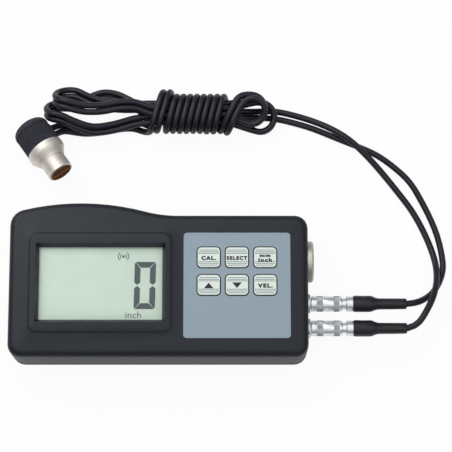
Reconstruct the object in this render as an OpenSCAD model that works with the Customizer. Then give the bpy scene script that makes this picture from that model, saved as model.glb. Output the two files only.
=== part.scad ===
// Ultrasonic thickness gauge with a dual-element probe on a twin lead, lying on its back.
// Millimetres. X runs along the case, Y towards the crest, Z out of the display.

/* [Case] */
// Length of the case
case_l = 126; // [115:1:160]
// Width of the case from the lower edge to the top of the crest
case_w = 66; // [62:0.5:80]
// Height of the case from its back to the display bezel
case_h = 27; // [26:0.5:40]
// Wall of both halves
wall = 2; // [1.6:0.1:2.6]
// Thickness of the front
front_t = 2.4; // [2:0.1:3.2]
// Outline radius at three corners
corner_r = 5.5; // [5:0.5:10]
// Outline radius at the corner under the crest
crown_r = 7; // [5:0.5:12]
// Rounding of the front edge
edge_r = 3; // [1.5:0.1:3.5]
// Rounding of the back edge
back_r = 2; // [0.8:0.1:3]
// Height of the seam between the halves
seam_z = 6; // [5:0.5:9]
// Depth of the seam's groove
seam_c = 0.3; // [0.1:0.1:0.5]
// Height of the lip inside the seam
lip_h = 1.2; // [0.6:0.1:2]
// Thickness of the lip
lip_t = 0.9; // [0.6:0.1:1.2]

/* [Crest] */
// Rise of the crest over the straight part of the top edge
crest_h = 5.4; // [3:0.1:8]
// Where the crest peaks
crest_x = -33; // [-38:1:-26]
// Radius of the crest
crest_r = 105; // [90:5:150]
// Radius of the hollow from the crest to the straight edge
dip_r = 55; // [30:5:80]

/* [Display] */
// Display centre along the case
display_x = -24.4; // [-28:0.1:-22]
// Display centre across the case
display_y = -1.6; // [-4:0.1:1]
// Visible display length
view_l = 52; // [44:0.5:54]
// Case beyond the visible display on each side, across the case
view_margin = 17.5; // [16:0.5:20]
// How far the opening widens towards the front on each side
view_bevel = 1.3; // [0.5:0.1:2]
// Bezel beyond the visible display on each side, along the case
bezel_l = 4.6; // [3.5:0.1:5.5]
// Bezel beyond the visible display on each side, across the case
bezel_w = 6.3; // [5:0.1:7]
// Rise of the bezel over the front
bezel_h = 0.6; // [0.3:0.1:1.2]
// Width of the slope around the bezel
bezel_s = 1.6; // [0.8:0.1:2]
// Corner radius of the bezel
bezel_r = 4; // [3:0.5:6]
// Thickness of the clear window
window_t = 1.2; // [0.8:0.1:2]
// Window held behind the front on each side
window_lap = 2.4; // [1.5:0.1:3]
// Thickness of the display glass
glass_t = 2.2; // [1.6:0.1:2.8]
// Wall of the frame around the display glass
frame_t = 1.4; // [1:0.1:2]
// Width of each contact strip under the glass
strip_w = 2.4; // [1.6:0.1:3]

/* [Keypad] */
// Keypad panel centre along the case
panel_x = 33; // [31:0.1:35]
// Keypad panel centre across the case
panel_y = -2.7; // [-4:0.1:-1]
// Length of the panel
panel_l = 45; // [42:0.5:48]
// Width of the panel
panel_w = 45; // [42:0.5:46]
// Corner radius of the panel
panel_r = 1.5; // [0.8:0.1:3]
// Thickness of the panel
panel_t = 0.5; // [0.3:0.1:0.8]
// How far the panel lies below the front
panel_sink = 0.3; // [0.1:0.1:0.5]
// Length of a key
key_l = 9.3; // [8:0.1:9.6]
// Width of a key
key_w = 8.4; // [7:0.1:9]
// Corner radius of a key
key_r = 1.6; // [0.8:0.1:2.4]
// Distance between key columns
key_dx = 11.85; // [11.7:0.05:13]
// Distance between key rows
key_dy = 11.8; // [11.2:0.1:13]
// Upper key row over the panel's centre
key_up = 11.8; // [9:0.1:14]
// Rise of a key over the panel
key_rise = 0.4; // [0.2:0.1:0.8]
// Travel of a key
key_travel = 0.5; // [0.3:0.1:0.8]
// Thickness of a key's flange
flange_t = 0.9; // [0.6:0.1:1.2]
// Flange beyond the key's hole on each side
flange_lap = 0.6; // [0.4:0.1:0.7]
// Diameter of a key's stem
stem_d = 4; // [3:0.1:5]
// Side of a switch body
switch_s = 6; // [5:0.1:7]

/* [Board and cells] */
// Length of a cell with its nub
cell_l = 44.5; // [40:0.5:46]
// Height of a cell's nub
nub_h = 1.2; // [0.8:0.1:2]
// Diameter of a cell's nub
nub_d = 3.8; // [3:0.1:5]
// Cell row centre across the case
cell_y = -1.2; // [-2:0.1:-0.5]
// Reach of a cell's spring contact
spring_l = 4; // [3:0.1:5]
// Thickness of a contact plate
contact_t = 0.5; // [0.3:0.1:0.8]
// Wall of the cell bay
bay_t = 1; // [0.8:0.1:1.2]
// Thickness of the board
board_t = 1.6; // [1:0.1:2]
// Space between the bay and the board
board_gap = 1.8; // [1.7:0.1:2.4]
// Board end towards the sockets
board_x1 = 54; // [50:0.5:55]
// Diameter of the posts that carry the board
post_d = 4.6; // [4:0.1:5]
// Diameter of the case screw bosses
boss_d = 6; // [5.6:0.1:6.4]
// Shank of a case screw
screw_d = 2.4; // [2:0.1:2.8]
// Head of a case screw
head_d = 4.4; // [4:0.1:4.8]
// Thickness of the cover's outer layer
cover_t = 1.2; // [1:0.1:1.6]
// Thickness of the cover's tongues
tongue_t = 0.9; // [0.7:0.1:1.2]
// Reach of the cover's tongues
tongue_w = 0.9; // [0.6:0.1:1]

/* [Right end] */
// Depth of the sockets under the display bezel
port_depth = 11.5; // [11:0.1:13]
// Lower socket from the lower edge of the case
port_in = 13.6; // [12.5:0.1:14]
// Distance between the sockets
port_pitch = 10.5; // [10:0.1:11]
// Socket flange diameter
rim_d = 8.2; // [7.5:0.1:9]
// Socket flange thickness
rim_t = 1.2; // [0.8:0.1:1.6]
// Socket thread diameter
thread_d = 7; // [6.6:0.1:7.2]
// Socket bore
bore_d = 5; // [4.6:0.1:5.4]
// Socket length behind the flange
socket_l = 10; // [9:0.5:11]
// Width across the flats of a socket nut
nut_af = 9; // [8:0.1:9.4]
// Thickness of a socket nut
nut_t = 1.8; // [1.2:0.1:2.4]
// Plug sleeve diameter
sleeve_d = 6.6; // [6.2:0.1:7]
// Plug sleeve length
sleeve_l = 13.2; // [11:0.1:15]
// Travel of the plug sleeve
sleeve_travel = 1.2; // [0.6:0.1:1.4]
// Plug neck between the sleeve and the collet nut
neck_l = 1.7; // [1.6:0.1:2.4]
// Plug core diameter inside the sleeve
core_d = 5; // [4.6:0.1:5.2]
// Collet nut length
collet_l = 3; // [2:0.1:4]
// Boot diameter at the plug
boot_d = 7; // [6.8:0.1:8]
// Boot diameter at the cord
tail_d = 4.7; // [4.2:0.1:5.4]
// Length of the boot's thick part
boot_l = 7.6; // [5:0.1:9]
// Length of the boot's taper
taper_l = 3; // [2:0.1:4]
// Length of the boot's thin part
tail_l = 12; // [8:0.5:14]
// Calibration block thickness
block_t = 4.4; // [4:0.1:5]
// How far the calibration block stands out of the case
block_out = 2.5; // [2:0.1:3]
// Chamfer of the calibration block
block_c = 0.7; // [0.3:0.1:1]

/* [Probe] */
// Diameter of the probe's cap
cap_d = 16; // [15:0.1:16.4]
// Length of the cap
cap_l = 13; // [12:0.1:14]
// Wall of the cap
cap_t = 1.6; // [1.2:0.1:2]
// Rounding of the cap's end
cap_r = 3; // [2:0.1:5]
// Diameter of the shell's flange
shell_d = 16.4; // [15.5:0.1:18]
// Length of the shell's flange
shell_l = 3; // [2:0.1:4]
// Length of the shell's taper
cone_l = 4.3; // [3:0.1:6]
// Diameter of the probe tip
tip_d = 11.2; // [10.6:0.1:12]
// Length of the probe tip
tip_l = 6.5; // [5:0.1:8]
// Diameter of the delay lines
delay_d = 9.6; // [9:0.1:10]
// Thickness of the acoustic barrier
barrier_t = 0.5; // [0.3:0.1:0.8]
// Thickness of a crystal
crystal_t = 0.5; // [0.3:0.1:0.8]
// How far the delay lines stand out of the tip
delay_out = 0.2; // [0.1:0.1:0.5]
// Diameter of each cord
cord_d = 2.8; // [2.4:0.1:3.2]
// Height of the wound hank
hank_h = 13.5; // [11:0.5:15]
// Width of the wound hank
hank_w = 21; // [18:0.5:22]
// Length of the wound hank
hank_l = 100; // [90:1:104]

/* [Hidden] */
$fn = 48;
eps = 0.01;
fit = 0.1;
run = 0.25;

// Outline of the case, anticlockwise: straight runs, bulging arcs and one hollow arc.
xl = -case_l / 2;
xr = case_l / 2;
yb = -case_w / 2;
yt = case_w / 2 - crest_h;
crest_c = [crest_x, case_w / 2 - crest_r];
dip_x = crest_x + sqrt(2 * crest_h * (crest_r + dip_r) - crest_h * crest_h);
dip_a = asin((dip_x - crest_x) / (crest_r + dip_r));
crown_c = [xl + crown_r, crest_c[1] + sqrt(pow(crest_r - crown_r, 2) - pow(xl + crown_r - crest_x, 2))];
crown_a = atan2(crown_c[1] - crest_c[1], crown_c[0] - crest_c[0]);
case_path = [
    ["run", [xl + corner_r, yb], [xr - corner_r, yb]],
    ["out", [xr - corner_r, yb + corner_r], corner_r, -90, 0],
    ["run", [xr, yb + corner_r], [xr, yt - corner_r]],
    ["out", [xr - corner_r, yt - corner_r], corner_r, 0, 90],
    ["run", [xr - corner_r, yt], [dip_x, yt]],
    ["in", [dip_x, yt + dip_r], dip_r, 270, 270 - dip_a],
    ["out", crest_c, crest_r, 90 - dip_a, crown_a],
    ["out", crown_c, crown_r, crown_a, 180],
    ["run", [xl, crown_c[1]], [xl, yb + corner_r]],
    ["out", [xl + corner_r, yb + corner_r], corner_r, 180, 270]];

// Heights, from the back to the front, over the largest cells that the case has room for.
cell_d = min(case_h * 7 / 18, case_w * 21 / 130);
face_z = case_h - bezel_h;
under_z = face_z - front_t;
cover_z = 0.3;
rail_z = cover_z + cover_t - run;
slot_z = cover_z + cover_t + tongue_t + run;
cell_z = slot_z + 0.1 + cell_d / 2;
roof_z = cell_z + cell_d / 2 + run;
board_z = roof_z + bay_t + board_gap;
board_top = board_z + board_t;
window_z = under_z - window_t;
glass_z = window_z - run - glass_t;
panel_z = face_z - panel_sink - panel_t;
flange_z = under_z - run - flange_t;
key_room = flange_z - board_top;
stem_l = 0.32 * key_room;
plunger_h = 0.14 * key_room;
stem_z = flange_z - stem_l;
plunger_z = stem_z - key_travel - run;

// Cell bay.
bay_l = cell_l + spring_l + 2 * contact_t + fit;
bay_w = 4 * (cell_d + 0.2) + 0.4;
bay_x0 = xl + wall + 1.2;
bay_x1 = bay_x0 + bay_l;
bay_y0 = cell_y - bay_w / 2;
cover_x1 = bay_x1 + 2;
cover_w = bay_w - 1;
function cell_row(i) = cell_y + (i - 1.5) * (cell_d + 0.2);

// Display, keypad and board.
view_w = case_w - 2 * view_margin;
window_l = view_l + 2 * window_lap;
window_w = view_w + 2 * window_lap;
frame_l = window_l + 2 * frame_t;
frame_w = window_w + 2 * frame_t;
board_x0 = xl + wall + 4;
board_y0 = yb + wall + 2.5;
board_y1 = yt - wall - 1;
post_inset = post_d / 2 + 0.4;
posts = [
    [display_x - 0.3 * view_l, display_y + frame_w / 2 + post_inset],
    [display_x - 0.3 * view_l, display_y - frame_w / 2 - post_inset],
    [display_x + frame_l / 2 + post_inset, display_y + frame_w / 2 + post_inset],
    [board_x1 - post_inset, display_y - frame_w / 2 - post_inset]];
boss_in = wall + boss_d / 2 + 0.2;
bosses = [
    [xl + boss_in + 1.2, yb + boss_in],
    [xl + boss_in + 1.8, crown_c[1] + 1.6],
    [xr - boss_in, yb + boss_in],
    [xr - boss_in, yt - boss_in]];
keys = [[-1, 1], [0, 1], [1, 1], [-1, 0], [0, 0], [1, 0]];
function key_at(i) = [panel_x + keys[i][0] * key_dx, panel_y + key_up + (keys[i][1] - 1) * key_dy];

// Right end.
port_z = case_h - port_depth;
ports = [yb + port_in + port_pitch, yb + port_in];
rim_x = xr + rim_t;
sleeve_x = rim_x + 0.2;
neck_x = sleeve_x + sleeve_l;
collet_x = neck_x + neck_l;
boot_x = collet_x + collet_l;
boot_end = boot_x + boot_l + taper_l + tail_l;
block_d = min(case_h * 0.65, case_w * 0.27);
block_y = case_w * 0.14;
block_z = seam_z + block_d / 2 + 0.6;
block_rim = 1.2;

// Probe: its own axis runs from the cap's end to the tip.
probe_pos = [-58, 71, 8.2];
probe_turn = -55;
probe_tilt = 9;
probe_l = cap_l + shell_l + cone_l + tip_l;
spigot_l = 4;
delay_l = tip_l + cone_l;
outlet_a = 30;
outlet_r = cap_d / 2 + 0.7;
outlet_z = cap_l / 2;
cord_half = cord_d / 2 + 0.3;
function probe_at(p) = let(
    b = 90 - probe_tilt,
    x = p[0] * cos(b) + p[2] * sin(b),
    z = p[2] * cos(b) - p[0] * sin(b))
    probe_pos + [x * cos(probe_turn) - p[1] * sin(probe_turn),
        x * sin(probe_turn) + p[1] * cos(probe_turn), z];
function outlet_at(z) = probe_at([outlet_r * sin(outlet_a), outlet_r * cos(outlet_a), z]);
probe_out = probe_at([sin(outlet_a), cos(outlet_a), 0]) - probe_pos;

// Cord routes, from the boots to the hank and from the hank to the probe.
hank_x1 = 51.5;
hank_y = 77.5;
upper_route = [[109, -8.5, 15], [113, -6.5, 12], [117.5, -2.5, 6.5], [120.5, 2.5, 3], [122.5, 8, 1.5],
    [122.5, 13, 1.5], [120.5, 24, 1.5], [116.5, 33.5, 1.5], [113, 40.5, 1.5], [109, 48, 1.5],
    [102.5, 54, 1.5], [95.5, 59.5, 1.5], [89, 62.5, 1.5], [83, 65, 1.5], [74.5, 68.5, 1.5],
    [66.5, 72, 1.5], [58, 74.5, 1.5], [50, 76.5, 1.5]];
lower_route = [[109, -18.5, 15.5], [112, -14.5, 15.5], [114.5, -10, 14.5], [116.5, -6, 13],
    [118, -1.5, 11], [119, 3, 8], [119.5, 10, 3], [117.5, 18, 1.5], [114, 26.5, 1.5], [109.5, 35, 1.5],
    [105, 41, 1.5], [100.5, 47, 1.5], [94, 55, 2.2], [88, 61, 4.2], [82, 66.5, 5], [74.5, 71.5, 3.5],
    [66, 75.5, 2], [58, 78, 1.5], [50, 80, 1.5]];
upper_tail = [[-45, 73, 2.5]];
lower_tail = [[-43, 70.5, 2.5]];

// One closed tube along a list of points: sd sides, first ring square to the direction t0.
function unit(v) = v / norm(v);
function ring_dir(p, i, t0) = i == 0 ? t0
    : i == len(p) - 1 ? unit(p[i] - p[i - 1])
    : unit(unit(p[i] - p[i - 1]) + unit(p[i + 1] - p[i]));
function ring_pts(c, t, r, sd) = let(s = unit(cross([0, 0, 1], t)), n = cross(t, s))
    [for (k = [0:sd - 1]) c + r * (cos((k + 0.5) * 360 / sd) * s + sin((k + 0.5) * 360 / sd) * n)];
module tube(p, t0, d, sd = 8) {
    r = d / 2;
    rings = [for (i = [0:len(p) - 1]) each ring_pts(p[i], ring_dir(p, i, t0), r, sd)];
    last = (len(p) - 1) * sd;
    sides = [for (i = [0:len(p) - 2], k = [0:sd - 1])
        [i * sd + k, i * sd + (k + 1) % sd, (i + 1) * sd + (k + 1) % sd, (i + 1) * sd + k]];
    caps = [[for (k = [sd - 1:-1:0]) k], [for (k = [0:sd - 1]) last + k]];
    polyhedron(points = rings, faces = [for (f = concat(sides, caps)) [for (k = [len(f) - 1:-1:0]) f[k]]],
        convexity = 10);
}

// Sweeps the profile below it around an outline: the profile's x is the distance inwards.
module sweep(path) {
    for (s = path) {
        if (s[0] == "run")
            translate([s[1][0], s[1][1], 0])
                rotate([0, 0, atan2(s[2][1] - s[1][1], s[2][0] - s[1][0]) + 90])
                    rotate([90, 0, 0])
                        linear_extrude(height = norm(s[2] - s[1])) children();
        if (s[0] == "out")
            translate([s[1][0], s[1][1], 0])
                rotate([0, 0, s[3]])
                    rotate_extrude(angle = s[4] - s[3]) translate([s[2], 0]) mirror([1, 0]) children();
    }
}
function arc_pts(c, r, a0, a1, n) = [for (i = [0:n]) c + r * [cos(a0 + (a1 - a0) * i / n),
    sin(a0 + (a1 - a0) * i / n)]];
function inset_pts(path, u) = [for (s = path) if (s[0] != "run")
    each arc_pts(s[1], s[0] == "out" ? s[2] - u : s[2] + u, s[3], s[4], s[2] > 20 ? 10 : 5)];
function rect_path(l, w, r) = [
    ["run", [r - l / 2, -w / 2], [l / 2 - r, -w / 2]],
    ["out", [l / 2 - r, r - w / 2], r, -90, 0],
    ["run", [l / 2, r - w / 2], [l / 2, w / 2 - r]],
    ["out", [l / 2 - r, w / 2 - r], r, 0, 90],
    ["run", [l / 2 - r, w / 2], [r - l / 2, w / 2]],
    ["out", [r - l / 2, w / 2 - r], r, 90, 180],
    ["run", [-l / 2, w / 2 - r], [-l / 2, r - w / 2]],
    ["out", [r - l / 2, r - w / 2], r, 180, 270]];

// Solid whose outline is inset by u at each height z of its levels [u, z], from the lowest up.
module loft(path, levels) {
    rings = [for (l = levels) [for (p = inset_pts(path, l[0])) [p[0], p[1], l[1]]]];
    m = len(rings);
    n = len(rings[0]);
    pts = concat([for (r = rings) each r], [[0, 0, levels[0][1]], [0, 0, levels[m - 1][1]]]);
    sides = [for (k = [0:m - 2], i = [0:n - 1])
        [k * n + i, (k + 1) * n + i, (k + 1) * n + (i + 1) % n, k * n + (i + 1) % n]];
    ends = [for (i = [0:n - 1]) each [[m * n, i, (i + 1) % n],
        [m * n + 1, (m - 1) * n + (i + 1) % n, (m - 1) * n + i]]];
    polyhedron(points = pts, faces = concat(sides, ends), convexity = 10);
}
module inset_slab(path, u, z0, z1) {
    translate([0, 0, z0]) linear_extrude(height = z1 - z0) polygon(inset_pts(path, u));
}

// Small helpers: rounded plate, block from corner to corner, round bar along X.
module plate(l, w, r) {
    square([l - 2 * r, w], center = true);
    square([l, w - 2 * r], center = true);
    for (x = [-1, 1], y = [-1, 1])
        translate([x * (l / 2 - r), y * (w / 2 - r)]) circle(r);
}
module block(a, b) {
    translate(a) cube(b - a);
}
module bar(x0, x1, d, y, z) {
    translate([x0, y, z]) rotate([0, 90, 0]) cylinder(d = d, h = x1 - x0);
}

module front_case() {
    color([0.05, 0.05, 0.055])
    difference() {
        union() {
            front_shell();
            translate([display_x, display_y, 0]) bezel();
            for (p = posts)
                translate([p[0], p[1], board_top]) cylinder(d = post_d, h = under_z - board_top + 0.5);
            for (p = bosses)
                translate([p[0], p[1], seam_z]) cylinder(d = boss_d, h = under_z - seam_z + 0.5);
            block([xr - wall - block_t + block_out, block_y - block_d / 2 - block_rim, seam_z + lip_h + 0.4],
                [xr - wall + 0.5, block_y + block_d / 2 + block_rim, under_z + 0.5]);
        }
        translate([display_x, display_y, 0])
            funnel(view_l, view_w, under_z, view_bevel, case_h);
        translate([panel_x, panel_y, panel_z])
            linear_extrude(height = face_z) plate(panel_l + 2 * fit, panel_w + 2 * fit, panel_r + fit);
        for (i = [0:len(keys) - 1])
            translate([key_at(i)[0], key_at(i)[1], under_z - 1])
                linear_extrude(height = front_t + 1) plate(key_l + 2 * run, key_w + 2 * run, key_r + run);
        for (y = ports)
            bar(xr - wall - 1, xr + 1, thread_d + 2 * fit, y, port_z);
        bar(xr - block_t + block_out, xr + 1, block_d + 2 * fit, block_y, block_z);
        for (p = bosses)
            translate([p[0], p[1], seam_z - 1]) cylinder(d = screw_d + fit, h = 10);
        for (p = posts)
            translate([p[0], p[1], board_top - 1]) cylinder(d = 1.8 + fit, h = 5);
    }
}
// Cutter for an opening that widens by u on each side from z0 up to z1, run on a little past both.
module funnel(l, w, z0, u, z1) {
    k = 0.2 / (z1 - z0);
    a = [l / 2 - u * k, w / 2 - u * k, z0 - 0.2];
    b = [l / 2 + u + u * k, w / 2 + u + u * k, z1 + 0.2];
    polyhedron(
        points = [for (c = [a, b], q = [[-1, -1], [1, -1], [1, 1], [-1, 1]]) [q[0] * c[0], q[1] * c[1], c[2]]],
        faces = [[0, 1, 2, 3], [7, 6, 5, 4], [4, 5, 1, 0], [5, 6, 2, 1], [6, 7, 3, 2], [7, 4, 0, 3]]);
}
module front_shell() {
    bend = arc_pts([edge_r, face_z - edge_r], edge_r, 180, 90, 6);
    difference() {
        loft(case_path, concat([[seam_c, seam_z], [0, seam_z + seam_c]], bend));
        inset_slab(case_path, wall, seam_z - 1, under_z);
        inset_slab(case_path, wall - lip_t - fit, seam_z - 1, seam_z + lip_h + fit);
    }
}
module bezel() {
    path = rect_path(view_l + 2 * bezel_l, view_w + 2 * bezel_w, bezel_r);
    sweep(path)
        polygon([[0, face_z - 0.3], [bezel_s + 1, face_z - 0.3], [bezel_s + 1, case_h], [bezel_s, case_h],
            [bezel_s * 0.6, case_h - bezel_h * 0.2], [bezel_s * 0.25, face_z + bezel_h * 0.2], [0, face_z]]);
    translate([0, 0, face_z - 0.3])
        linear_extrude(height = bezel_h + 0.3) polygon(inset_pts(path, bezel_s + 0.5));
}

module rear_case() {
    color([0.05, 0.05, 0.055])
    difference() {
        union() {
            rear_shell();
            block([xl + 1, bay_y0 - 2.2, 0.5], [cover_x1 + 1.5, bay_y0 + bay_w + 2.2, slot_z + bay_t]);
            block([bay_x0 - bay_t, bay_y0 - bay_t, 0.5],
                [bay_x1 + bay_t, bay_y0 + bay_w + bay_t, roof_z + bay_t]);
            for (p = bosses)
                translate([p[0], p[1], 0.5]) cylinder(d = boss_d, h = seam_z - 0.5);
        }
        block([bay_x0, bay_y0, -1], [bay_x1, bay_y0 + bay_w, roof_z]);
        block([xl - 1, cell_y - cover_w / 2 - run, -1], [cover_x1 + run, cell_y + cover_w / 2 + run, slot_z]);
        block([xl - 1, cell_y - cover_w / 2 - tongue_w - run, rail_z],
            [cover_x1 + run, cell_y + cover_w / 2 + tongue_w + run, slot_z]);
        bar(xr - wall - 1, xr + 1, block_d + 2 * run, block_y, block_z);
        for (p = bosses) {
            translate([p[0], p[1], -1]) cylinder(d = screw_d + 4 * fit, h = seam_z + 2);
            translate([p[0], p[1], -1]) cylinder(d = head_d + 4 * fit, h = 3.4);
        }
    }
}
module rear_shell() {
    bend = arc_pts([back_r, back_r], back_r, 270, 180, 4);
    difference() {
        union() {
            loft(case_path, concat(bend, [[0, seam_z - seam_c], [seam_c, seam_z]]));
            inset_slab(case_path, wall - lip_t, seam_z - 1, seam_z + lip_h);
        }
        inset_slab(case_path, wall, wall, seam_z + lip_h + 1);
    }
}

module battery_cover() {
    grip_x = cover_x1 - 12;
    color([0.05, 0.05, 0.055])
    difference() {
        union() {
            block([xl, cell_y - cover_w / 2, cover_z], [cover_x1, cell_y + cover_w / 2, cover_z + cover_t]);
            block([xl + back_r, cell_y - cover_w / 2 - tongue_w, cover_z + cover_t],
                [cover_x1, cell_y + cover_w / 2 + tongue_w, cover_z + cover_t + tongue_t]);
        }
        translate([xl, cell_y, 0]) rotate([90, 0, 0])
            linear_extrude(height = case_w, center = true) difference() {
                translate([-1, -1]) square([back_r + 1, back_r + 1]);
                translate([back_r, back_r]) circle(back_r);
            }
        for (i = [0:5])
            block([grip_x + 1.6 * i, cell_y - 9, cover_z - 1], [grip_x + 0.8 + 1.6 * i, cell_y + 9, cover_z + 0.4]);
    }
}

module case_screws() {
    color([0.6, 0.6, 0.62])
    for (p = bosses)
        translate([p[0], p[1], 0]) {
            translate([0, 0, 2.4 - 1.6]) cylinder(d = head_d, h = 1.6);
            translate([0, 0, 2.3]) cylinder(d = screw_d, h = seam_z + 6);
        }
}

module display_window() {
    color([0.85, 0.92, 0.95, 0.4])
    translate([display_x, display_y, window_z])
        linear_extrude(height = window_t) square([window_l, window_w], center = true);
}

module display_glass() {
    color([0.75, 0.82, 0.76])
    translate([display_x, display_y, glass_z])
        linear_extrude(height = glass_t) square([window_l - 2 * fit, window_w - 2 * fit], center = true);
}

module display_frame() {
    color([0.85, 0.85, 0.82])
    translate([display_x, display_y, board_top])
        linear_extrude(height = window_z - board_top) difference() {
            square([frame_l, frame_w], center = true);
            square([window_l, window_w], center = true);
        }
}

module contact_strips() {
    color([0.75, 0.72, 0.7])
    for (s = [-1, 1])
        translate([display_x, display_y + s * (window_w / 2 - strip_w / 2 - 0.6), board_top])
            linear_extrude(height = glass_z - board_top) square([view_l, strip_w], center = true);
}

module keypad_panel() {
    color([0.57, 0.64, 0.68])
    translate([panel_x, panel_y, panel_z])
        linear_extrude(height = panel_t) difference() {
            plate(panel_l, panel_w, panel_r);
            for (i = [0:len(keys) - 1])
                translate([key_at(i)[0] - panel_x, key_at(i)[1] - panel_y])
                    plate(key_l + 2 * run + 0.3, key_w + 2 * run + 0.3, key_r + run);
        }
}

module key(i) {
    color([0.92, 0.95, 0.92])
    translate([key_at(i)[0], key_at(i)[1], 0]) {
        translate([0, 0, flange_z + flange_t - eps])
            linear_extrude(height = panel_z + panel_t + key_rise - flange_z - flange_t + eps)
                plate(key_l, key_w, key_r);
        translate([0, 0, flange_z])
            linear_extrude(height = flange_t)
                plate(key_l + 2 * run + 2 * flange_lap, key_w + 2 * run + 2 * flange_lap, key_r);
        translate([0, 0, stem_z]) cylinder(d = stem_d, h = stem_l + eps);
    }
}
module key_calibrate() {
    key(0);
}
module key_select() {
    key(1);
}
module key_units() {
    key(2);
}
module key_raise() {
    key(3);
}
module key_lower() {
    key(4);
}
module key_velocity() {
    key(5);
}

module main_board() {
    color([0.05, 0.3, 0.12])
    translate([0, 0, board_z])
        linear_extrude(height = board_t) difference() {
            translate([board_x0, board_y0]) square([board_x1 - board_x0, board_y1 - board_y0]);
            for (p = bosses)
                translate(p) circle(d = boss_d + 1);
            for (p = posts)
                translate(p) circle(d = 2.2);
        }
}
module board_chips() {
    color([0.08, 0.08, 0.08])
    for (c = [[35, board_y1 - 6, 7, 7], [22, board_y0 + 7, 10, 10], [9, board_y0 + 8, 7, 5]])
        translate([board_x1 - c[0], c[1], board_top])
            linear_extrude(height = 1.4) square([c[2], c[3]], center = true);
}
module key_switches() {
    color([0.2, 0.2, 0.22])
    for (i = [0:len(keys) - 1])
        translate([key_at(i)[0], key_at(i)[1], board_top]) {
            linear_extrude(height = plunger_z - plunger_h - board_top)
                square(switch_s, center = true);
            cylinder(d = stem_d - 0.8, h = plunger_z - board_top);
        }
}
module board_screws() {
    color([0.6, 0.6, 0.62])
    for (p = posts)
        translate([p[0], p[1], board_z]) {
            translate([0, 0, -1.2]) cylinder(d = 3.6, h = 1.2);
            translate([0, 0, -0.1]) cylinder(d = 1.8, h = board_t + 3.6);
        }
}

module calibration_block() {
    color([0.75, 0.74, 0.7])
    translate([xr + block_out - block_t, block_y, block_z]) rotate([0, 90, 0])
        rotate_extrude()
            polygon([[0, 0], [block_d / 2, 0], [block_d / 2, block_t - block_c],
                [block_d / 2 - block_c, block_t], [0, block_t]]);
}

// Cells lie along the case, every second one turned round.
module cell(i) {
    turned = i % 2 == 1;
    x0 = turned ? bay_x0 + contact_t + fit / 2 : bay_x1 - contact_t - fit / 2;
    color([0.75, 0.6, 0.3])
    translate([x0, cell_row(i), cell_z]) rotate([0, turned ? 90 : -90, 0])
        rotate_extrude()
            polygon([[0, 0], [nub_d / 2, 0], [nub_d / 2, nub_h], [cell_d / 2 - 0.4, nub_h],
                [cell_d / 2, nub_h + 0.4], [cell_d / 2, cell_l], [0, cell_l]]);
}
module cell_1() {
    cell(0);
}
module cell_2() {
    cell(1);
}
module cell_3() {
    cell(2);
}
module cell_4() {
    cell(3);
}
// A contact plate on an end wall of the bay, side -1 left or 1 right, behind rows i to j.
module contact(side, i, j) {
    x = side < 0 ? bay_x0 : bay_x1 - contact_t;
    translate([x, cell_row(i) - 3.6, cell_z - 3.6]) cube([contact_t, cell_row(j) - cell_row(i) + 7.2, 7.2]);
    for (k = [i:j])
        if ((side < 0) == (k % 2 == 0))
            translate([side < 0 ? bay_x0 : bay_x1, cell_row(k), cell_z - 2.5])
                scale([-side, 1, 1])
                    linear_extrude(height = 5)
                        polygon([[contact_t - eps, -3], [contact_t - eps, -2.4],
                            [contact_t + spring_l - 0.4, 2.6], [contact_t + spring_l, 2.6],
                            [contact_t + spring_l, 2.1], [contact_t + 0.5, -3]]);
}
module contacts_left() {
    color([0.8, 0.8, 0.78]) {
        contact(-1, 0, 1);
        contact(-1, 2, 3);
    }
}
module contacts_right() {
    color([0.8, 0.8, 0.78]) {
        contact(1, 0, 0);
        contact(1, 1, 2);
        contact(1, 3, 3);
    }
}

module socket(y) {
    color([0.8, 0.8, 0.82])
    translate([rim_x, y, port_z]) rotate([0, -90, 0])
        rotate_extrude()
            polygon([[bore_d / 2, 0], [rim_d / 2 - 0.3, 0], [rim_d / 2, 0.3], [rim_d / 2, rim_t],
                [thread_d / 2, rim_t], [thread_d / 2, socket_l - 2], [0.6, socket_l - 2],
                [0.6, socket_l + 1], [0, socket_l + 1], [0, socket_l - 3.5], [bore_d / 2, socket_l - 3.5]]);
}
module socket_upper() {
    socket(ports[0]);
}
module socket_lower() {
    socket(ports[1]);
}
module socket_nuts() {
    color([0.8, 0.8, 0.82])
    for (y = ports)
        translate([xr - wall - nut_t, y, port_z]) rotate([0, 90, 0])
            linear_extrude(height = nut_t) difference() {
                circle(d = nut_af / cos(30), $fn = 6);
                circle(d = thread_d + 0.1);
            }
}

// Plug: core with its nose in the socket, sliding sleeve, collet nut and boot.
module plug_core(y) {
    color([0.82, 0.82, 0.84])
    translate([sleeve_x, y, port_z]) rotate([0, 90, 0])
        rotate_extrude()
            polygon([[0, -6], [1.9, -6], [bore_d / 2 - 0.15, -5.5], [bore_d / 2 - 0.15, 0],
                [core_d / 2, 0.2], [core_d / 2, sleeve_l + neck_l + collet_l], [1.9, sleeve_l + neck_l + collet_l],
                [1.9, sleeve_l + neck_l + collet_l + 5], [0, sleeve_l + neck_l + collet_l + 5]]);
}
module plug_sleeve(y) {
    r = sleeve_d / 2;
    color([0.85, 0.85, 0.87])
    translate([sleeve_x, y, port_z]) rotate([0, 90, 0])
        rotate_extrude()
            polygon([[core_d / 2 + run, 0], [r - 0.3, 0], [r, 0.3], [r, 1.6], [r - 0.15, 1.7], [r - 0.15, 1.9],
                [r, 2], [r, 4.6], [r - 0.15, 4.8], [r - 0.15, sleeve_l - 4.2], [r, sleeve_l - 4],
                [r, sleeve_l - 1.4], [r - 0.4, sleeve_l], [core_d / 2 + run, sleeve_l]]);
}
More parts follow.
